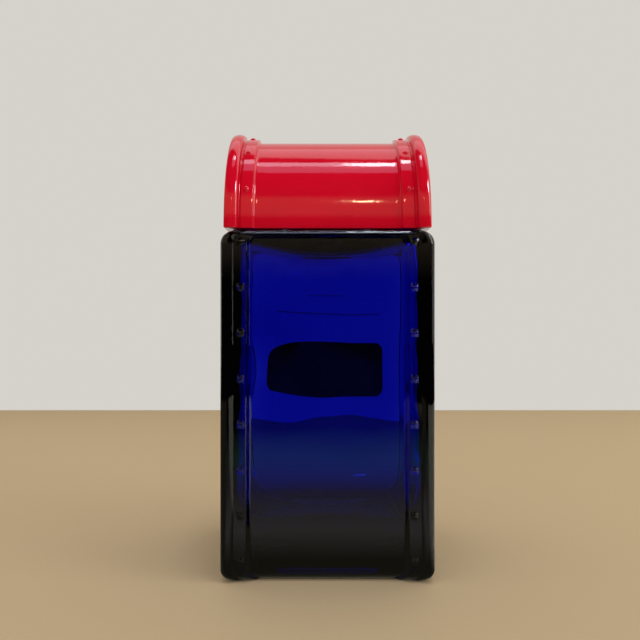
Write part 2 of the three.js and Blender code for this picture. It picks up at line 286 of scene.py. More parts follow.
def labelFilm():
    return grainyMaterial("labelFilm", {
        "first": (0.020, 0.019, 0.018), "second": (0.034, 0.031, 0.028), "fleck": 900.0,
        "gloss": 300.0, "rough": (0.38, 0.52), "grain": 2500.0, "grainStrength": 0.1, "grainDepth": 0.00005,
    })


def whitePlastic():
    return grainyMaterial("whitePlastic", {
        "first": (0.80, 0.79, 0.74), "second": (0.74, 0.73, 0.68), "fleck": 90.0,
        "gloss": 500.0, "rough": (0.36, 0.48), "grain": 1400.0, "grainStrength": 0.08, "grainDepth": 0.0001,
    })


def linerFoam():
    look = {"first": (0.70, 0.66, 0.55), "second": (0.58, 0.54, 0.44), "fleck": 1200.0, "rough": 0.85,
            "cells": 3000.0, "cellStrength": 0.35, "cellDepth": 0.0002}
    material, tree, shader = newMaterial("linerFoam")
    fleck = objectNoise(tree, look["fleck"])
    tree.links.new(mixedColour(tree, fleck, look["first"], look["second"]), shader.inputs["Base Color"])
    shader.inputs["Roughness"].default_value = look["rough"]
    bumped(tree, shader, objectNoise(tree, look["cells"], 4.0), look["cellStrength"], look["cellDepth"])
    return material


# Bottle: one closed skin of glass, outside and inside, joined at the lip of the neck
bottleSet = {
    "shoulder": 82.0, "heel": 3.0, "edgeRings": 10, "support": 0.5,
    "sideEdge": {"tall": 3.2, "deep": 3.2, "fullness": 2.0},
    "frontEdge": {"tall": 1.15, "deep": 0.9, "fullness": 1.25},
    "beadRadius": 1.75, "bandDrop": 0.7, "panelDrop": 1.2,
    "postWidth": 6.0, "stepWidth": 0.95, "stepFoot": 0.4, "stepEdge": 0.2,
    "rivetInset": 4.8, "rivetRadius": 0.93, "rivetHeight": 0.35, "rivetRoom": 0.96,
    "rivetCount": 8, "rivetLow": 5.0, "rivetHigh": 79.3,
    "bearing": 3.2, "pushUp": 1.4, "pushUpSlope": 2.5, "pushUpCorner": 6.0, "pushUpRings": 6,
    "wall": 2.5, "sideWall": 3.2, "flare": 0.05, "base": 5.0, "ceiling": 80.6, "offCentre": 0.3,
    "vault": 2.6, "vaultReach": 18.0, "vaultDepth": 6.0,
    "farCorner": 1.6, "nearCorner": 1.2, "cavityTop": 2.2, "cavityHeel": 17.0, "cavityRing": 1.5,
    "ripple": 0.22, "rippleLength": 17.0, "sideWave": 0.45, "waveLength": 24.0, "wavePhase": 1.4,
    "thinSides": 0.7, "thinBelow": 44.0, "thinning": 0.04,
    "swells": ((-18.0, 60.5, 7.0, 0.6), (-15.5, 49.0, 5.0, -0.4), (-11.0, 40.0, 8.0, 0.4)),
    "rimLow": 80.35, "rimHigh": 80.85,
    "lineProud": 0.28, "lineHalfWidth": 0.58, "lineCuts": 4,
    "handleLine": (5.75, 68.2), "doorLine": (16.25, 62.8),
}
neckSet = {
    "radius": 8.9, "bore": 6.0, "steps": 112, "rootFillet": 0.8, "rootReach": 15.0, "rootDrop": 1.0,
    "beadLow": 83.2, "beadHigh": 84.6, "beadProud": 1.2, "beadRound": 0.6, "beadFoot": 0.15,
    "threadLow": 85.0, "threadHigh": 91.1, "threadRows": 34, "threadProud": 0.88,
    "rootRound": 0.78, "lipRound": 0.78, "lipInside": 0.6, "boreFoot": 1.6,
}
screwPitch = 3.175
neckScrew = {"start": 86.0, "pitch": screwPitch, "halfWidth": 0.85, "first": 0.0, "last": 1.35, "fade": 0.1}
closureScrew = {
    "start": 84.4125, "pitch": screwPitch, "halfWidth": 0.75, "first": 0.6, "last": 2.15, "fade": 0.1,
}


def postPlan(bm, halfX, halfY, height):          # half plan: front panel, band and bead, plain side, far face
    s = bottleSet
    recess = s["bandDrop"] + s["panelDrop"]
    panelEdge = s["postWidth"] + s["stepWidth"]
    foot = math.acos(1 - s["bandDrop"] / s["beadRadius"])
    footIn = s["beadRadius"] * (1 + math.sin(foot))
    rivetSides = [s["rivetInset"] + s["rivetRoom"], s["rivetInset"] - s["rivetRoom"]]
    stops = [halfX, panelEdge + s["support"], panelEdge, s["postWidth"], *rivetSides, footIn]
    drops = [recess, recess, recess] + [s["bandDrop"]] * 4
    front = wire(bm, [(halfX - stop, drop - halfY, height) for stop, drop in zip(stops, drops)])
    roundOff(bm, front[2], s["stepFoot"])
    roundOff(bm, front[3], s["stepEdge"])
    beadX, beadY = halfX - s["beadRadius"], halfY - s["beadRadius"]
    end = front[-1]
    for angle, steps in ((foot, 6), (math.pi / 2, 10)):
        end = sweepVert(bm, end, (beadX, -beadY, height), angle, steps)
    end = lineOn(bm, end, [(halfX, y, height) for y in (s["support"] - beadY, 0, beadY - s["support"], beadY)])
    for angle, steps in ((math.pi / 2, 10), (foot, 6)):
        end = sweepVert(bm, end, (beadX, beadY, height), angle, steps)
    farFace = halfY - s["bandDrop"]
    lineOn(bm, end, [(x, farFace, height) for x in (halfX - footIn - s["support"], 0)])
    bmesh.ops.mirror(bm, geom=bm.verts[:] + bm.edges[:], matrix=Matrix.Identity(4), merge_dist=0.001, axis="X")
    bmesh.ops.remove_doubles(bm, verts=bm.verts, dist=0.001)
    return bm.edges[:]


def postRows():                                  # heights of the rivets and of the rings beside them
    s = bottleSet
    pitch = (s["rivetHigh"] - s["rivetLow"]) / (s["rivetCount"] - 1)
    middles = [s["rivetLow"] + i * pitch for i in range(s["rivetCount"])]
    return middles, [z + side * s["rivetRoom"] for z in middles for side in (-1, 1)]


def unevenness(place, halfX, halfY):             # how far the inside of blown glass stands out or in
    s = bottleSet
    shares = (place.x / halfX, place.y / halfY)
    change = s["ripple"] * noise.noise(place / s["rippleLength"])
    if place.y < 0:
        change += s["thinning"] * max(0.0, s["thinBelow"] - place.z)
        for x, z, reach, thicker in s["swells"]:
            change -= thicker * math.exp(-((place.x - x) ** 2 + (place.z - z) ** 2) / reach ** 2)
    shift = change * Vector([math.copysign(abs(share) ** 8, share) for share in shares] + [0]).normalized()
    aside = abs(shares[0]) ** 6
    wave = math.sin(fullTurn * place.z / s["waveLength"] + math.copysign(s["wavePhase"], place.x))
    shift.x += math.copysign(s["sideWave"] * aside * max(0.0, -shares[1]) ** 3 * wave, place.x)
    shift.y += s["thinSides"] * aside * max(0.0, shares[1]) ** 6
    return shift


def raiseRim(bm, halfX, halfY):                  # the panel comes forward to the bands under the shoulder
    s = bottleSet
    for vert in bm.verts:
        share = min(1.0, max(0.0, (vert.co.z - s["rimLow"]) / (s["rimHigh"] - s["rimLow"])))
        band = s["bandDrop"] - halfY + drawIn(s["frontEdge"], s["shoulder"], vert.co.z)
        if share and vert.co.y < 0 and abs(vert.co.x) < halfX - s["postWidth"]:
            vert.co.y -= (0.5 - 0.5 * math.cos(math.pi * share)) * max(0.0, vert.co.y - band)


def buildCavity(bm, halfX, front, back):
    s = bottleSet
    halfY = (front + back) / 2
    low = s["base"] + s["cavityHeel"]
    high = s["ceiling"] - s["cavityTop"]
    before = set(bm.verts)
    plan = roundedPlan(bm, halfX, halfY, s["farCorner"], s["nearCorner"], low, 12, 25)
    ring = plan
    count = round((high - low) / s["cavityRing"])
    for _ in range(count):
        ring = growRing(bm, ring, (high - low) / count)
    for rise, inset in quarterRound(s["cavityTop"], s["edgeRings"]):
        ring = growRing(bm, ring, rise, inset)
    floor, wide, deep = plan, halfX, halfY
    for rise, inset in quarterRound(s["cavityHeel"], 2 * s["edgeRings"]):
        floor = growRing(bm, floor, -rise)
        bmesh.ops.scale(bm, vec=(1 - inset / wide, 1 - inset / deep, 1),
                        verts=list({v for e in floor for v in e.verts}))
        wide, deep = wide - inset, deep - inset
    for vert in [v for v in bm.verts if v not in before]:
        fade = min(1.0, max(0.0, min((vert.co.z - s["base"]) / s["cavityHeel"],
                                     (s["ceiling"] - vert.co.z) / (3 * s["cavityTop"]))))
        vert.co += fade * unevenness(vert.co, halfX, halfY)
        vert.co.x *= 1 + s["flare"] * vert.co.y / halfY       # wider at the far side, thick at the posts
        vert.co.x += s["offCentre"]
        vert.co.y += (back - front) / 2
    bmesh.ops.contextual_create(bm, geom=floor)


def sagCeiling(bm, halfX, front, back):          # thick glass over the middle of the inside, thin at its sides
    s = bottleSet
    start = s["ceiling"] - s["vaultDepth"]
    for vert in bm.verts:
        x, y, z = vert.co
        within = abs(x) < halfX + 1 and -front - 1 < y < back + 1
        if within and math.hypot(x, y) > neckSet["bore"] + 0.05 and start < z < s["ceiling"] + 0.01:
            share = min(1.0, (z - start) / (s["vaultDepth"] - s["cavityTop"]))
            vert.co.z -= s["vault"] * max(0.0, 1 - (x / s["vaultReach"]) ** 2) * share


def buildNeck(bm, lip):
    s, n = bottleSet, neckSet
    outer = n["radius"] + n["beadProud"]
    rowPitch = (n["threadHigh"] - n["threadLow"]) / n["threadRows"]
    rows = [(n["radius"], n["threadLow"] + i * rowPitch) for i in range(n["threadRows"] + 1)]
    foot = [
        (n["radius"] + n["rootFillet"], s["shoulder"]), (n["radius"], s["shoulder"]),
        (n["radius"], n["beadLow"]), (outer, n["beadLow"]), (outer, n["beadHigh"]), (n["radius"], n["beadHigh"]),
    ]
    top = [
        (n["radius"], lip), (n["bore"], lip), (n["bore"], s["ceiling"] - n["rootDrop"]),
        (n["rootReach"], s["ceiling"]),
    ]
    verts = wire(bm, [(r, 0, z) for r, z in foot + rows + top])
    corners = verts[1:6] + verts[-4:-1]
    rounds = ("rootRound", "beadFoot", "beadRound", "beadRound", "beadFoot",
              "lipRound", "lipInside", "boreFoot")
    for vert, name in zip(corners, rounds):
        roundOff(bm, vert, n[name], 6)
    turnRound(bm, [v for v in bm.verts if not v.link_faces], n["steps"])
    for vert in bm.verts:
        if abs(vert.co.xy.length - n["radius"]) < 0.01 and n["threadLow"] < vert.co.z < n["threadHigh"]:
            rise = n["threadProud"] * threadRise(math.atan2(vert.co.y, vert.co.x), vert.co.z, neckScrew)
            vert.co.xy *= 1 + rise / n["radius"]


def raiseDoorLines(bm, panel):                   # raised lines of the drop door on the far panel
    s = bottleSet

    def farFaces():
        return [f for f in bm.faces if abs(f.calc_center_median().y - panel) < 0.01 and abs(f.normal.y) > 0.99]

    def cut(place, direction):
        faces = farFaces()
        geom = list({v for f in faces for v in f.verts}) + list({e for f in faces for e in f.edges}) + faces
        bmesh.ops.bisect_plane(bm, geom=geom, plane_co=place, plane_no=direction, dist=0.0001)

    bmesh.ops.recalc_face_normals(bm, faces=bm.faces)
    half, cuts = s["lineHalfWidth"], s["lineCuts"]
    for reach, height in (s["handleLine"], s["doorLine"]):
        for i in range(-cuts, cuts + 1):
            cut((0, panel, height + half * i / cuts), (0, 0, 1))
        for side in (-1, 1):
            for i in range(cuts):
                cut((side * (reach - half * i / (cuts - 1)), panel, 0), (1, 0, 0))
    for vert in {v for f in farFaces() for v in f.verts}:
        for reach, height in (s["handleLine"], s["doorLine"]):
            beyond = max(0.0, abs(vert.co.x) - (reach - half))
            off = math.hypot(beyond, vert.co.z - height)
            if off < half:
                vert.co.y += s["lineProud"] * 0.5 * (1 + math.cos(math.pi * off / half))


def buildBottle():
    s = bottleSet
    low, high = boxOf("glass_bottle")
    halfX, halfY = high.x, high.y
    recess = s["bandDrop"] + s["panelDrop"]
    heel = s["heel"]
    edges = (s["sideEdge"], s["frontEdge"])
    sideStart = s["shoulder"] - s["sideEdge"]["tall"]
    rivetMiddles, rivetRings = postRows()
    bm = bmesh.new()

    # outside, from the heel down to the base and up to the shoulder
    plan = postPlan(bm, halfX, halfY, heel)
    ring, height, drawn = plan, heel, (0.0, 0.0)
    levels = {heel + s["support"], sideStart - 2 * s["support"], *rivetRings}
    for edge in edges:
        levels |= {round(z, 4) for z in edgeHeights(edge, s["shoulder"], 2 * s["edgeRings"])}
    for level in sorted(levels):
        now = [drawIn(edge, s["shoulder"], level) for edge in edges]
        ring = growRing(bm, ring, level - height, now[0] - drawn[0], now[1] - drawn[1])
        height, drawn = level, now
    raiseRim(bm, halfX, halfY)
    ring = plan
    for rise, inset in quarterRound(heel, s["edgeRings"]):
        ring = growRing(bm, ring, -rise, inset)
    pushUp = roundedPlan(bm, halfX - heel - s["bearing"], halfY - recess - heel - s["bearing"],
                         s["pushUpCorner"], s["pushUpCorner"], low.z, 8, 5)
    bmesh.ops.triangle_fill(bm, edges=ring + pushUp, use_beauty=True, use_dissolve=False)
    count = s["pushUpRings"]
    for step in range(1, count + 1):             # soft slope up to the middle of the base
        rise = [0.5 - 0.5 * math.cos(math.pi * i / count) for i in (step - 1, step)]
        pushUp = growRing(bm, pushUp, s["pushUp"] * (rise[1] - rise[0]), s["pushUpSlope"] / count)
    bmesh.ops.contextual_create(bm, geom=pushUp)

    # rivets on both bands of the front
    for side in (-1, 1):
        for z in rivetMiddles:
            inset = s["rivetInset"] + drawIn(s["sideEdge"], s["shoulder"], z)
            place = Vector((side * (halfX - inset), s["bandDrop"] - halfY, z))
            addRivet(bm, place, Vector((0, -1, 0)), s["rivetRadius"], s["rivetHeight"], s["rivetRoom"])
    raiseDoorLines(bm, halfY - s["bandDrop"])

    # neck and inside
    buildNeck(bm, high.z)
    fillFlat(bm, s["shoulder"])
    inside = (halfX - s["sideWall"], halfY - recess - s["wall"], halfY - s["bandDrop"] - s["wall"])
    buildCavity(bm, *inside)
    fillFlat(bm, s["ceiling"])
    sagCeiling(bm, *inside)
    return finishPiece(bm, "bottleGlass", cobaltGlass(), "glass_bottle", "bottle")


# Label on the far panel
def buildLabel():
    look = {"corner": 2.5, "edge": 0.05}
    low, high = boxOf("back_label")
    middle = (low + high) / 2
    bm = bmesh.new()
    half = (high - low) / 2
    roundedPlan(bm, half.x, half.z, look["corner"], look["corner"], 0, 8, 5)
    bmesh.ops.contextual_create(bm, geom=bm.edges[:])
    made = bmesh.ops.extrude_face_region(bm, geom=bm.faces[:])["geom"]
    bmesh.ops.translate(bm, vec=(0, 0, high.y - low.y), verts=onlyVerts(made))
    bmesh.ops.recalc_face_normals(bm, faces=bm.faces)
    rims = [e for e in bm.edges if e.calc_face_angle(0) > 1]
    bmesh.ops.bevel(bm, geom=rims, offset=look["edge"], segments=2, profile=0.5, affect="EDGES", material=-1)
    upright = Matrix.Translation((middle.x, high.y, middle.z)) @ Matrix.Rotation(math.pi / 2, 4, "X")
    bmesh.ops.transform(bm, matrix=upright, verts=bm.verts)
    return finishPiece(bm, "backLabel", labelFilm(), "back_label", "bottle")


# Cap: barrel roof with end beads and riveted bands, a boss and webs inside
capSet = {
    "beadWidth": 3.1, "beadCrown": 0.8, "beadFoot": 0.2, "beadEdge": 0.1,
    "grooveWidth": 0.8, "grooveDrop": 1.6, "grooveSlope": 0.25, "grooveEdge": 0.15, "grooveFoot": 0.14,
    "bandWidth": 2.8, "bandDrop": 1.3, "bandEdge": 0.12, "fillet": 0.74, "filletReach": 1.4,
    "barrelDrop": 2.2, "wall": 1.8, "innerRound": 0.8, "lean": 0.45, "rimRound": 0.35, "roofSteps": 72,
    "rivetRadius": 0.75, "rivetHeight": 0.45, "rivetRoom": 0.85, "rivetCut": 0.8,
    "rivetCount": 6, "rivetEdge": 1.12,
    "bossOuter": 13.95, "bossInner": 12.35, "bossLift": 1.5, "bossRound": 0.3, "bossSteps": 96,
    "shelf": 95.5, "shelfRound": 0.2, "recess": 9.85, "web": 1.2, "webLift": 8.0, "webBite": 0.4,
}


def archOver(bm, verts, axisHeight, steps):      # half a turn of a roof profile, front to back
    edges = list({e for v in verts for e in v.link_edges})
    bmesh.ops.spin(bm, geom=list(verts) + edges, cent=(0, 0, axisHeight), axis=(-1, 0, 0), angle=math.pi,
                   steps=steps)
    bmesh.ops.mirror(bm, geom=bm.verts[:] + bm.edges[:] + bm.faces[:], matrix=Matrix.Identity(4),
                     merge_dist=0.001, axis="X")
    bmesh.ops.remove_doubles(bm, verts=bm.verts, dist=0.001)


def dropSkirt(bm, axisHeight, bottom, rimRound):  # straight walls under the roof, closed ends and a soft rim
    foot = bottom + rimRound
    low = [e for e in bm.edges if e.is_boundary and all(abs(v.co.z - axisHeight) < 0.001 for v in e.verts)]
    made = bmesh.ops.extrude_edge_only(bm, edges=low)["geom"]
    bmesh.ops.translate(bm, vec=(0, 0, foot - axisHeight), verts=onlyVerts(made))
    for side in (-1, 1):
        reach = max(side * v.co.x for v in bm.verts) - 0.001
        end = [e for e in bm.edges if e.is_boundary and all(side * v.co.x > reach for v in e.verts)
               and max(v.co.z for v in e.verts) > foot + 0.001]
        feet = [v for v in {v for e in end for v in e.verts} if v.co.z < foot + 0.001]
        end.append(bm.edges.new(feet))
        bmesh.ops.contextual_create(bm, geom=end)
    rim = openEdges(bm, foot)
    for rise, inset in quarterRound(rimRound, 3) if rimRound else []:
        rim = growRing(bm, rim, -rise, 0.0, inset)
        verts = {v for e in rim for v in e.verts}
        reach = max(v.co.x for v in verts)
        for vert in verts:                       # only the outer half of a bead draws in sideways
            share = max(0.0, 1 - (reach - abs(vert.co.x)) / (capSet["beadWidth"] / 2))
            vert.co.x -= math.copysign(inset * share, vert.co.x)


def roofAt(axisHeight, radius, y):               # height of the roof over a point beside the axis
    return axisHeight + math.sqrt(max(0.0, radius ** 2 - y ** 2))


def addBoss(bm, axisHeight, bottom, roofRadius):  # tube that grips the closure, up to the middle of the roof
    s = capSet
    foot = bottom + s["bossLift"]
    others = set(bm.verts)
    wall = wire(bm, [(r, 0, z) for r, z in (
        (s["recess"], axisHeight + roofRadius), (s["recess"], s["shelf"]), (s["bossInner"], s["shelf"]),
        (s["bossInner"], foot), (s["bossOuter"], foot), (s["bossOuter"], axisHeight + roofRadius),
    )])
    for vert, name in zip(wall[1:5], ("shelfRound", "bossRound", "bossRound", "bossRound")):
        roundOff(bm, vert, s[name], 3)
    turnRound(bm, [v for v in bm.verts if v not in others], s["bossSteps"])
    rims = openEdges(bm, axisHeight + roofRadius)
    bmesh.ops.bridge_loops(bm, edges=rims)
    for vert in {v for e in rims for v in e.verts}:
        vert.co.z = roofAt(axisHeight, roofRadius, vert.co.y)


def addWebs(bm, axisHeight, bottom, roofRadius, endReach):   # thin walls from the boss to the shell
    s = capSet
    foot = bottom + s["webLift"]
    inside = s["bossOuter"] - s["webBite"]
    sideReach = math.sqrt(roofRadius ** 2 - (foot + s["webBite"] - axisHeight) ** 2)
    for turn, reach in ((0, endReach), (1, sideReach), (2, endReach), (3, sideReach)):
        made = bmesh.ops.create_grid(bm, x_segments=12, y_segments=1, size=0.5)["verts"]
        bmesh.ops.scale(bm, vec=(reach - inside, s["web"], 1), verts=made)
        bmesh.ops.translate(bm, vec=((reach + inside) / 2, 0, foot), verts=made)
        bmesh.ops.rotate(bm, cent=(0, 0, 0), matrix=Matrix.Rotation(turn * math.pi / 2, 3, "Z"), verts=made)
        base = list({f for v in made for f in v.link_faces})
        top = onlyVerts(bmesh.ops.extrude_face_region(bm, geom=base)["geom"])
        for vert in top:
            vert.co.z = roofAt(axisHeight, roofRadius, vert.co.y)


def buildCap():
    s = capSet
    low, high = boxOf("cap_shell")
    half, crown = high.x, high.y
    axisHeight = high.z - crown
    band = crown - s["bandDrop"]
    barrel = crown - s["barrelDrop"]
    groove = crown - s["grooveDrop"]
    beadFoot = crown - s["beadCrown"]
    beadIn = half - s["beadWidth"]
    bandOut = beadIn - s["grooveWidth"]
    bandIn = bandOut - s["bandWidth"]
    rivetX = bandOut - s["rivetEdge"]
    bm = bmesh.new()

    def profileWire(pairs):
        return wire(bm, [(x, -radius, axisHeight) for x, radius in pairs])

    verts = profileWire((
        (0, barrel), (bandIn - s["filletReach"], barrel), (bandIn, barrel), (bandIn, band),
        (rivetX - s["rivetRoom"], band), (rivetX + s["rivetRoom"], band), (bandOut, band),
        (bandOut + s["grooveSlope"], groove), (beadIn - s["grooveSlope"], groove), (beadIn, beadFoot),
    ))
    bmesh.ops.spin(bm, geom=[verts[-1]], cent=(half - s["beadWidth"] / 2, -beadFoot, axisHeight),
                   axis=(0, 0, 1), angle=math.pi, steps=14)
    arc = [v for v in bm.verts if v.co.x > beadIn + 0.001]
    bmesh.ops.scale(bm, vec=(1, s["beadCrown"] / (s["beadWidth"] / 2), 1), verts=arc,
                    space=Matrix.Translation((0, beadFoot, 0)))
    corners = verts[2:4] + verts[6:]
    rounds = ("fillet", "bandEdge", "grooveEdge", "grooveFoot", "beadFoot", "beadEdge")
    for vert, name in zip(corners, rounds):
        roundOff(bm, vert, s[name])
    archOver(bm, bm.verts[:], axisHeight, s["roofSteps"])
    dropSkirt(bm, axisHeight, low.z, s["rimRound"])
    for side in (-1, 1):
        for i in range(s["rivetCount"]):
            a = math.pi * (i + 0.5) / s["rivetCount"]
            normal = Vector((0, -math.cos(a), math.sin(a)))
            place = Vector((side * rivetX, 0, axisHeight)) + normal * band
            addRivet(bm, place, normal, s["rivetRadius"], s["rivetHeight"], s["rivetCut"])

    # inside of the shell
    inner = bmesh.new()
    innerRadius = barrel - s["wall"]
    innerHalf = half - s["wall"]
    chain = wire(inner, [(x, -r, axisHeight) for x, r in (
        (0, innerRadius), (innerHalf, innerRadius), (innerHalf, innerRadius - 2 * s["innerRound"]),
    )])
    roundOff(inner, chain[1], s["innerRound"])
    archOver(inner, inner.verts[:], axisHeight, s["roofSteps"])
    dropSkirt(inner, axisHeight, low.z, 0.0)
    mesh = bpy.data.meshes.new("capInside")
    inner.to_mesh(mesh)
    inner.free()
    bm.from_mesh(mesh)
    bpy.data.meshes.remove(mesh)
    fillFlat(bm, low.z)
    addBoss(bm, axisHeight, low.z, (barrel + innerRadius) / 2)
    addWebs(bm, axisHeight, low.z, (barrel + innerRadius) / 2, innerHalf + s["wall"] / 2)
    leanOver = s["lean"] / half / (high.z - low.z)
    for vert in bm.verts:
        vert.co.x *= 1 - leanOver * (vert.co.z - low.z)
    return finishPiece(bm, "capShell", redPlastic(), "cap_shell", "cap", 35)


# Screw closure: ribbed cup with an inside thread
closureSet = {
    "bore": 10.05, "ceiling": 93.6, "ribs": 36, "ribDepth": 0.35, "ribFoot": 0.2, "steps": 216,
    "topEdge": 0.4, "rimRound": 0.25, "ceilingRound": 0.3,
    "threadLow": 85.6, "threadHigh": 92.6, "threadRows": 34, "threadProud": 0.85,
}


def buildClosure():
    s = closureSet
    low, high = boxOf("screw_closure")
    radius = high.x
    rowPitch = (s["threadHigh"] - s["threadLow"]) / s["threadRows"]
    rows = [(s["bore"], s["threadLow"] + i * rowPitch) for i in range(s["threadRows"] + 1)]
    bm = bmesh.new()
    verts = wire(bm, [(r, 0, z) for r, z in [
        (0, high.z), (radius, high.z), (radius, low.z), (s["bore"], low.z), *rows, (s["bore"], s["ceiling"]),
        (0, s["ceiling"]),
    ]])
    for vert, name in zip(verts[1:4] + verts[-2:-1], ("topEdge", "rimRound", "rimRound", "ceilingRound")):
        roundOff(bm, vert, s[name])
    turnRound(bm, bm.verts[:], s["steps"])
    bmesh.ops.remove_doubles(bm, verts=bm.verts, dist=0.001)
    for vert in bm.verts:
        out = vert.co.xy.length
        angle = math.atan2(vert.co.y, vert.co.x)
        if out > radius - s["topEdge"] - 0.001 and low.z + s["ribFoot"] < vert.co.z < high.z - 0.01:
            depth = s["ribDepth"] * min(1.0, (high.z - vert.co.z) / s["topEdge"])
            vert.co.xy *= 1 - depth * (0.5 - 0.5 * math.cos(angle * s["ribs"])) / out
        elif abs(out - s["bore"]) < 0.001 and s["threadLow"] < vert.co.z < s["threadHigh"]:
            vert.co.xy *= 1 - s["threadProud"] * threadRise(angle, vert.co.z, closureScrew) / out
    return finishPiece(bm, "screwClosure", whitePlastic(), "screw_closure", "cap", 35)


# Liner: foam disc with the print of the lip
def buildLiner():
    s = {"edge": 0.18, "printIn": 6.2, "printOut": 8.8, "printDepth": 0.12,
         "printSlope": 0.2, "printRound": 0.08, "steps": 96}
    low, high = boxOf("sealing_liner")
    radius = high.x
    pressed = low.z + s["printDepth"]
    bm = bmesh.new()
    verts = wire(bm, [(r, 0, z) for r, z in (
        (0, high.z), (radius, high.z), (radius, low.z), (s["printOut"] + s["printSlope"], low.z),
        (s["printOut"], pressed), (s["printIn"], pressed), (s["printIn"] - s["printSlope"], low.z), (0, low.z),
    )])
    for vert, name in zip(verts[1:7], ["edge"] * 2 + ["printRound"] * 4):
        roundOff(bm, vert, s[name])
    turnRound(bm, bm.verts[:], s["steps"])
    return finishPiece(bm, "sealingLiner", linerFoam(), "sealing_liner", "liner", 35)


# Stage: plain floor and backdrop, lamps and the camera of the photograph
stageSet = {
    "backAt": 0.284, "wide": 1.6, "front": -1.6, "tall": 0.55,
    "backdrop": (0.665, 0.645, 0.595), "floor": (0.52, 0.39, 0.232), "rough": 0.9, "specular": 0.1,
}
paintedReflectionSet = {            # painted reflection: what mirrors see of the floor, glowing colours from front to back, and zones at its sides
    # the left zone is a painted shadow of the bottle, the right zone painted light from the right, the dark zone
    # painted dark further out
    "left": (0.14, 0.115, 0.085), "right": (0.82, 0.755, 0.635), "dark": (0.012, 0.012, 0.012),
    "frontToBack": (-0.27, -0.03),
    # stops from front to back: painted shade at the front, painted reflections of tinted things, grey, then
    # painted shade beside the bottle
    "stops": ((0.08, (0.012, 0.012, 0.012)), (0.43, (0.11, 0.27, 0.22)), (0.66, (0.23, 0.20, 0.22)),
              (0.87, (0.45, 0.42, 0.40)), (0.97, (0.14, 0.13, 0.085))),
    "paintedDarkFrom": (0.37, 0.39), "zoneSlope": 0.1, "zoneFrom": (0.03, 0.05),
}
lampTarget = (0, 0, 0.08)
lampSet = {              # place, target, size, radiance and colour of each lamp
    "overheadSoft": ((-0.02, -0.17, 1.6), (-0.02, -0.17, 0), (0.44, 0.20), 4.6, (0.78, 0.82, 1.0)),
    "overheadHaze": ((0.02, -0.44, 1.6), (0.02, -0.44, 0), (0.56, 0.32), 1.5, (0.60, 0.66, 1.0)),
    "overheadBright": ((0.15, -0.17, 1.59), (0.15, -0.17, 0), (0.18, 0.16), 15.0, (0.90, 0.94, 1.0)),
    "rightSoft": ((1.3, -0.45, 0.55), lampTarget, (0.7, 0.6), 3.5, (1.0, 0.98, 0.95)),
    "warmSmall": ((0.14, -1.9, 0.97), lampTarget, (0.06, 0.07), 60.0, (1.0, 0.80, 0.45)),
    "rightGlints": ((1.42, -0.82, 1.2), lampTarget, (0.34, 0.34), 40.0, (0.90, 0.94, 1.0)),
}
worldSet = {
    "fill": (0.95, 0.95, 0.93), "fillStrength": (0.97, 0.77), "pale": (0.66, 0.65, 0.61),
    "dark": (0.012, 0.011, 0.010), "brown": (0.50, 0.40, 0.28),
    "ceiling": (1.3, 1.3, 1.36), "right": (2.0, 2.0, 2.05),
    "paleSlope": 0.45, "paleFrom": (0.09, 0.16), "overheadFrom": (0.72, 0.82),
    "bands": ((0.06, "dark"), (0.18, "brown"), (0.48, "brown"), (0.56, "dark")),
    "rightFrom": (0.35, 0.6), "sill": (0.115, 0.14), "behindFrom": (0.0, 0.2),
}
cameraSet = {"place": (-1.76, -183.3, 61.1), "focalPixels": 690.0, "framePixels": 640.0, "sensor": 36.0}


def flatPiece(name, middle, wide, deep, normal, material):
    bm = bmesh.new()
    bmesh.ops.create_grid(bm, x_segments=1, y_segments=1, size=0.5)
    bmesh.ops.scale(bm, vec=(wide, deep, 1), verts=bm.verts)
    bmesh.ops.rotate(bm, cent=(0, 0, 0), matrix=Vector((0, 0, 1)).rotation_difference(normal).to_matrix(),
                     verts=bm.verts)
    bmesh.ops.translate(bm, vec=middle, verts=bm.verts)
    mesh = bpy.data.meshes.new(name)
    bm.to_mesh(mesh)
    bm.free()
    mesh.materials.append(material)
    piece = bpy.data.objects.new(name, mesh)
    bpy.context.scene.collection.objects.link(piece)
    return piece


def plainMatt(name, colour):
    material, tree, shader = newMaterial(name)
    shader.inputs["Base Color"].default_value = (*colour, 1)
    shader.inputs["Roughness"].default_value = stageSet["rough"]
    shader.inputs["Specular IOR Level"].default_value = stageSet["specular"]
    return material, tree, shader


def fillRamp(ramp, stops):
    elements = ramp.color_ramp.elements
    while len(elements) < len(stops):
        elements.new(0.5)
    for element, (place, colour) in zip(elements, stops):
        element.position = place
        element.color = (*colour, 1)


def scaledSum(tree, first, scale, second):       # first times scale, plus second
    node = tree.nodes.new("ShaderNodeMath")
    node.operation = "MULTIPLY_ADD"
    node.inputs[1].default_value = scale
    tree.links.new(first, node.inputs[0])
    tree.links.new(second, node.inputs[2])
    return node.outputs["Value"]


def paired(tree, operation, first, second):
    node = tree.nodes.new("ShaderNodeMath")
    node.operation = operation
    tree.links.new(first, node.inputs[0])
    tree.links.new(second, node.inputs[1])
    return node.outputs["Value"]


def chosen(tree, value, first, second):          # mixes two shaders
    node = tree.nodes.new("ShaderNodeMixShader")
    tree.links.new(value, node.inputs["Fac"])
    tree.links.new(first, node.inputs[1])
    tree.links.new(second, node.inputs[2])
    return node.outputs["Shader"]


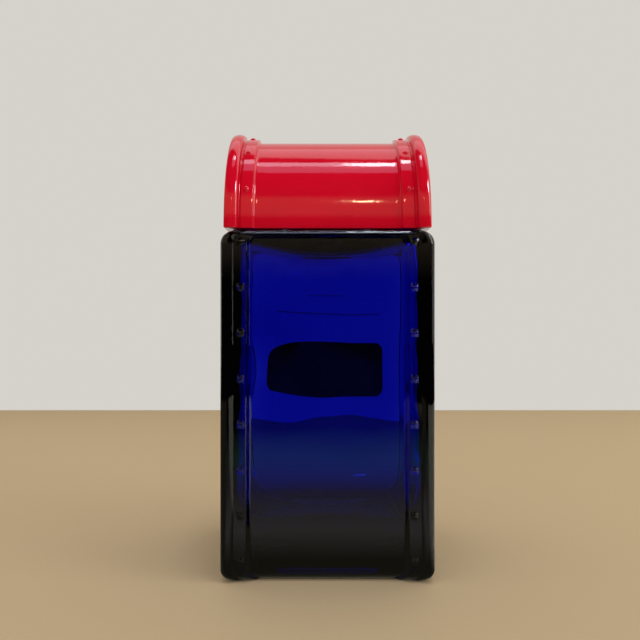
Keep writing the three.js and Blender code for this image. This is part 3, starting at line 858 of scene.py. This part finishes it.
def paintedFloorReflection(tree, shader):                    # painted reflection: mirrors see the near part of the floor in painted colours, with painted shade and light, then painted dark
    s = paintedReflectionSet
    coords = tree.nodes.new("ShaderNodeNewGeometry")
    split = tree.nodes.new("ShaderNodeSeparateXYZ")
    tree.links.new(coords.outputs["Position"], split.inputs["Vector"])
    ramp = tree.nodes.new("ShaderNodeValToRGB")
    fillRamp(ramp, s["stops"])
    tree.links.new(ranged(tree, split.outputs["Y"], 0.0, 1.0, *s["frontToBack"]), ramp.inputs["Fac"])
    colour = ramp.outputs["Color"]
    distance = tree.nodes.new("ShaderNodeVectorMath")
    distance.operation = "LENGTH"
    tree.links.new(coords.outputs["Position"], distance.inputs[0])
    zones = [(distance.outputs["Value"], s["paintedDarkFrom"], s["dark"])]
    for side, shade in ((1, s["right"]), (-1, s["left"])):   # X with a share of Y: painted shadow and painted light zones that open to the front
        aside = scaledSum(tree, split.outputs["Y"], side * s["zoneSlope"], split.outputs["X"])
        zones.insert(0, (aside, [side * reach for reach in s["zoneFrom"]], shade))
    for value, reach, shade in zones:
        node = tree.nodes.new("ShaderNodeMix")
        node.data_type = "RGBA"
        node.inputs["B"].default_value = (*shade, 1)
        tree.links.new(colour, node.inputs["A"])
        tree.links.new(ranged(tree, value, 0.0, 1.0, *reach), node.inputs["Factor"])
        colour = node.outputs["Result"]
    # the painted colours glow for mirrored rays in place of the floor's own shading
    glow = tree.nodes.new("ShaderNodeEmission")
    tree.links.new(colour, glow.inputs["Color"])
    rays = tree.nodes.new("ShaderNodeLightPath").outputs     # mirrored rays alone, not those through glass
    mirrored = paired(tree, "SUBTRACT", rays["Is Glossy Ray"], rays["Is Transmission Ray"])
    mix = chosen(tree, mirrored, shader.outputs["BSDF"], glow.outputs["Emission"])
    tree.links.new(mix, tree.nodes["Material Output"].inputs["Surface"])


def paleBackdrop(tree, shader, colour):          # the eye, mirrors and glass see the backdrop evenly pale
    path = tree.nodes.new("ShaderNodeLightPath")
    glow = tree.nodes.new("ShaderNodeEmission")
    glow.inputs["Color"].default_value = (*colour, 1)
    mix = chosen(tree, path.outputs["Is Diffuse Ray"], glow.outputs["Emission"], shader.outputs["BSDF"])
    tree.links.new(mix, tree.nodes["Material Output"].inputs["Surface"])


def buildStage():
    s = stageSet
    floorMatt, tree, shader = plainMatt("floorMatt", s["floor"])
    # the floor shows mirrors a painted reflection with painted shade and light
    paintedFloorReflection(tree, shader)
    wide, deep, tall = 2 * s["wide"], s["backAt"] - s["front"], s["tall"]
    flatPiece("floor", (0, s["backAt"] - deep / 2, 0), wide, deep, Vector((0, 0, 1)), floorMatt)
    backdropMatt, tree, shader = plainMatt("backdropMatt", s["backdrop"])
    paleBackdrop(tree, shader, s["backdrop"])
    flatPiece("backdrop", (0, s["backAt"], tall / 2), wide, tall, Vector((0, -1, 0)), backdropMatt)


def areaLamp(name, place, target, size, radiance, colour):
    lamp = bpy.data.lights.new(name, "AREA")
    lamp.shape = "RECTANGLE"
    lamp.size, lamp.size_y = size
    lamp.energy = radiance * size[0] * size[1] * math.pi
    lamp.color = colour
    holder = bpy.data.objects.new(name, lamp)
    holder.location = place
    holder.rotation_euler = (Vector(target) - Vector(place)).to_track_quat("-Z", "Y").to_euler()
    bpy.context.scene.collection.objects.link(holder)
    return holder


def buildLamps():
    lamps = {name: areaLamp(name, *values) for name, values in lampSet.items()}
    lamps["rightGlints"].visible_diffuse = False             # seen in the gloss alone


def buildWorld():
    s = worldSet
    world = bpy.data.worlds.new("softSurround")
    bpy.context.scene.world = world
    world.use_nodes = True
    tree = world.node_tree
    back = tree.nodes["Background"]
    back.inputs["Color"].default_value = (*s["fill"], 1)
    seen = tree.nodes.new("ShaderNodeBackground")
    seen.inputs["Color"].default_value = (*s["pale"], 1)
    gloss = tree.nodes.new("ShaderNodeBackground")
    coords = tree.nodes.new("ShaderNodeTexCoord")
    split = tree.nodes.new("ShaderNodeSeparateXYZ")
    tree.links.new(coords.outputs["Generated"], split.inputs["Vector"])
    x, y, z = (split.outputs[axis] for axis in "XYZ")
    tree.links.new(ranged(tree, z, *s["fillStrength"], 0.0, 1.0), back.inputs["Strength"])

    # gloss sees a dim brown band over the dark in front, and pale sides that reach further round at the right
    ramp = tree.nodes.new("ShaderNodeValToRGB")
    fillRamp(ramp, [(place, s[shade]) for place, shade in s["bands"]])
    tree.links.new(z, ramp.inputs["Fac"])
    toBack = ranged(tree, scaledSum(tree, x, s["paleSlope"], y), 0.0, 1.0, *s["paleFrom"])
    overhead = ranged(tree, z, 0.0, 1.0, *s["overheadFrom"])
    ceiling = mixedColour(tree, overhead, s["pale"], s["ceiling"])
    surround = mixedColour(tree, toBack, s["dark"], s["pale"])
    tree.links.new(ramp.outputs["Color"], surround.node.inputs["A"])
    tree.links.new(ceiling, surround.node.inputs["B"])

    # brighter behind at the right, above a low sill
    aboveSill = ranged(tree, z, 0.0, 1.0, *s["sill"])
    lit = paired(tree, "MULTIPLY", ranged(tree, x, 0.0, 1.0, *s["rightFrom"]), aboveSill)
    behind = paired(tree, "MULTIPLY", lit, ranged(tree, y, 0.0, 1.0, *s["behindFrom"]))
    around = mixedColour(tree, behind, s["pale"], s["right"])
    tree.links.new(surround, around.node.inputs["A"])
    tree.links.new(around, gloss.inputs["Color"])

    rays = tree.nodes.new("ShaderNodeLightPath").outputs
    first = chosen(tree, rays["Is Diffuse Ray"], seen.outputs["Background"], back.outputs["Background"])
    second = chosen(tree, rays["Is Glossy Ray"], first, gloss.outputs["Background"])
    tree.links.new(second, tree.nodes["World Output"].inputs["Surface"])


def buildCamera():
    s = cameraSet
    camera = bpy.data.cameras.new("photoCamera")
    camera.sensor_width = s["sensor"]
    camera.lens = s["sensor"] * s["focalPixels"] / s["framePixels"]
    camera.clip_start = 0.01
    holder = bpy.data.objects.new("photoCamera", camera)
    holder.location = Vector(s["place"]) * mm
    holder.rotation_euler = (math.pi / 2, 0, 0)
    bpy.context.scene.collection.objects.link(holder)
    bpy.context.scene.camera = holder


bpy.context.scene.view_settings.view_transform = "Standard"
bottleGlass = buildBottle()
backLabel = buildLabel()
capShell = buildCap()
screwClosure = buildClosure()
sealingLiner = buildLiner()
buildStage()
buildLamps()
buildWorld()
buildCamera()
print("stage, lamps and camera ready")
